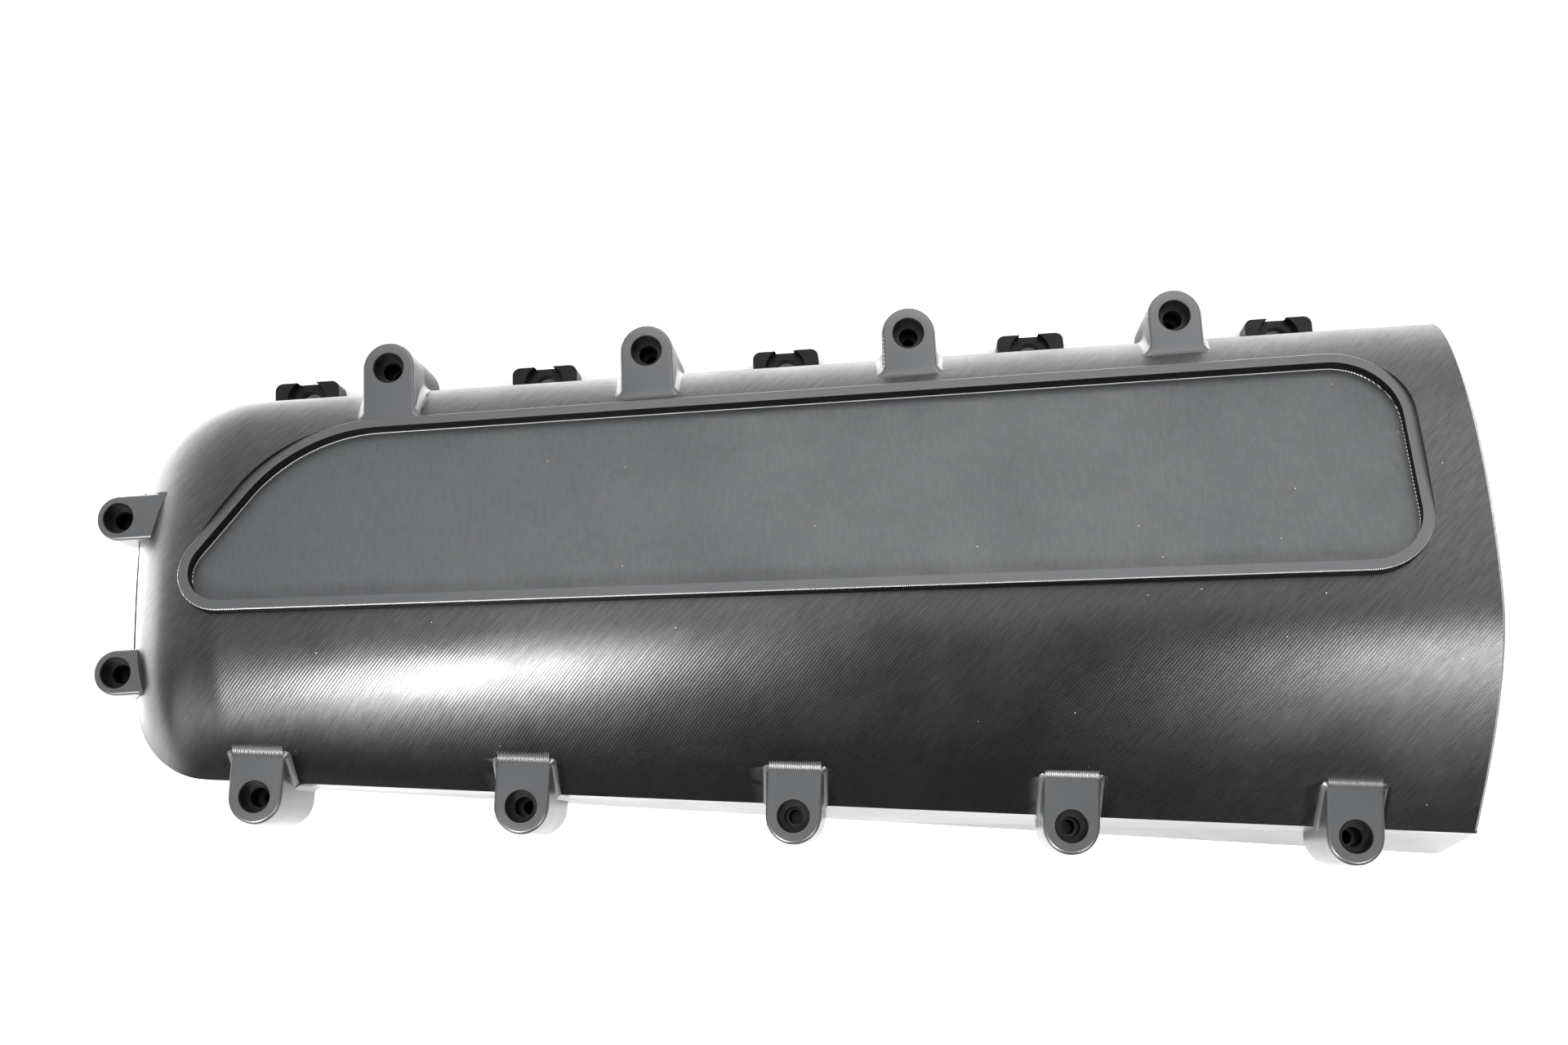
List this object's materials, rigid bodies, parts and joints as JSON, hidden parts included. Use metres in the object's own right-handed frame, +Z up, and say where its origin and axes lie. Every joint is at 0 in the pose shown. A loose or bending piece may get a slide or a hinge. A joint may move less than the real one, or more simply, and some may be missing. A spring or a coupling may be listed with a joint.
{
  "type": "intake plenum",
  "caption": "Domed two-piece intake plenum with screw ears, a tilted recessed panel, a ported base with bell mouths and a throttle opening at one end.",
  "frame": {"origin": "centre of the head face, midway between the two middle ports and 8 mm towards the head's outer studs from their centre line", "axes": "+X along the ports towards the throttle end, +Y towards the outer stud row, +Z up out of the head face"},
  "size_m": [0.4947, 0.209, 0.0966],
  "materials": {
    "black_anodised_cover": "satin black anodised, fine ball-milled tool marks",
    "black_anodised_base": "satin black anodised",
    "bare_aluminium": "turned",
    "seal_rubber": "matt black",
    "thread_steel": "plain",
    "black_screw_steel": "black oxide",
    "copper": "annealed"
  },
  "bodies": {
    "root": {"plenum_cover": "black_anodised_cover", "plenum_base": "black_anodised_base", "cover_seal": "seal_rubber", "velocity_stack_1": "bare_aluminium", "velocity_stack_2": "bare_aluminium", "velocity_stack_3": "bare_aluminium", "velocity_stack_4": "bare_aluminium", "port_seal_1": "seal_rubber", "port_seal_2": "seal_rubber", "port_seal_3": "seal_rubber", "port_seal_4": "seal_rubber", "head_side_inserts": "thread_steel", "outer_side_inserts": "thread_steel", "end_inserts": "thread_steel", "ring_dowel_head": "thread_steel", "ring_dowel_outer": "thread_steel", "throttle_flange": "black_anodised_base", "throttle_seal": "seal_rubber", "throttle_flange_screws": "black_screw_steel", "boost_port_plug": "black_screw_steel", "plug_washer": "copper"}
  },
  "joints": []
}
